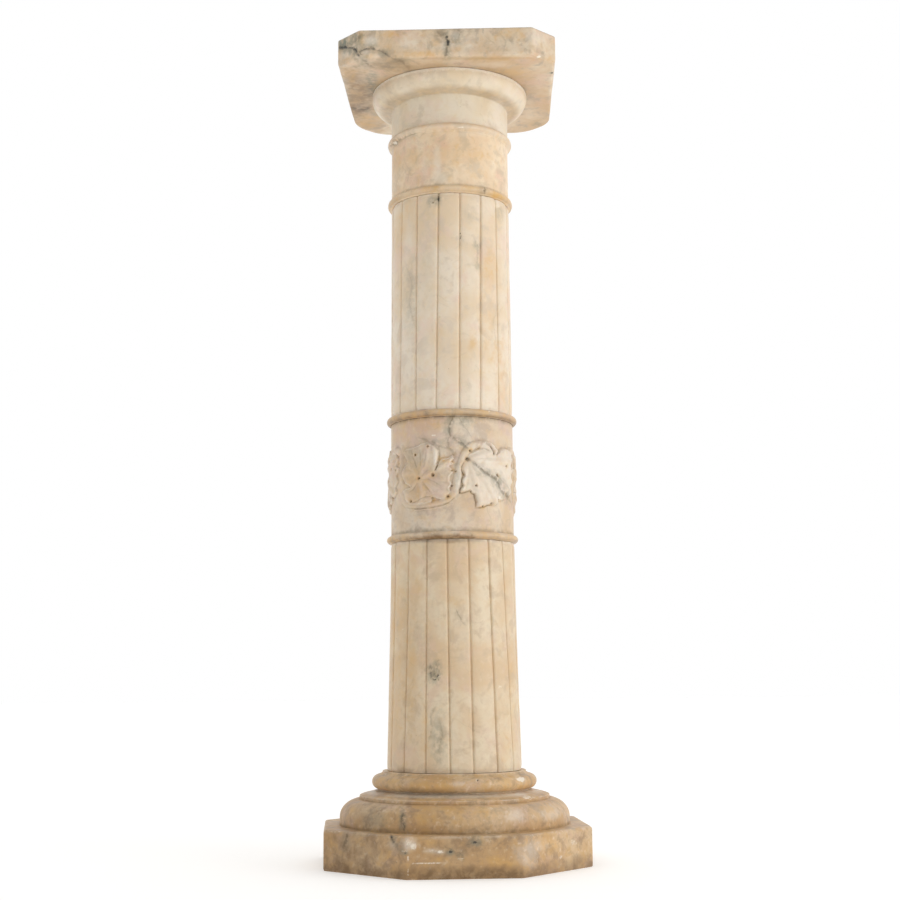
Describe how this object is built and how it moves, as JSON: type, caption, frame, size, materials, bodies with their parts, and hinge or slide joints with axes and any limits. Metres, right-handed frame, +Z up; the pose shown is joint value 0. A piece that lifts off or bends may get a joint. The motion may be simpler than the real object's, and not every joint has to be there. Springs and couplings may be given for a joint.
{
  "type": "doric column",
  "caption": "Freestanding carved alabaster column with an octagonal moulded base, reeded shafts, a band of vine leaves in relief, a round capital and a square top slab.",
  "frame": {"origin": "middle of the plinth's underside, on the column's axis", "axes": "+Z up along the column; -Y is the front, square to one face of the eight-sided plinth; +X to the right seen from the front"},
  "size_m": [0.3294, 0.3294, 1.05],
  "materials": {
    "base": "waxed honey-coloured alabaster, worn satin",
    "lower_shaft": "polished tan alabaster with dark grooves, satin",
    "vine_drum": "carved beige alabaster with blue-grey veins, satin",
    "upper_shaft": "polished pale cream alabaster with dark grooves, satin",
    "collar": "polished peach-coloured alabaster, satin",
    "capital": "polished cream alabaster, satin",
    "top_slab": "beige alabaster with a net of dark grey-green veins, satin"
  },
  "bodies": {
    "root": {"base": "base", "lower_shaft": "lower_shaft", "vine_drum": "vine_drum", "upper_shaft": "upper_shaft", "collar": "collar", "capital": "capital", "top_slab": "top_slab"}
  },
  "joints": []
}
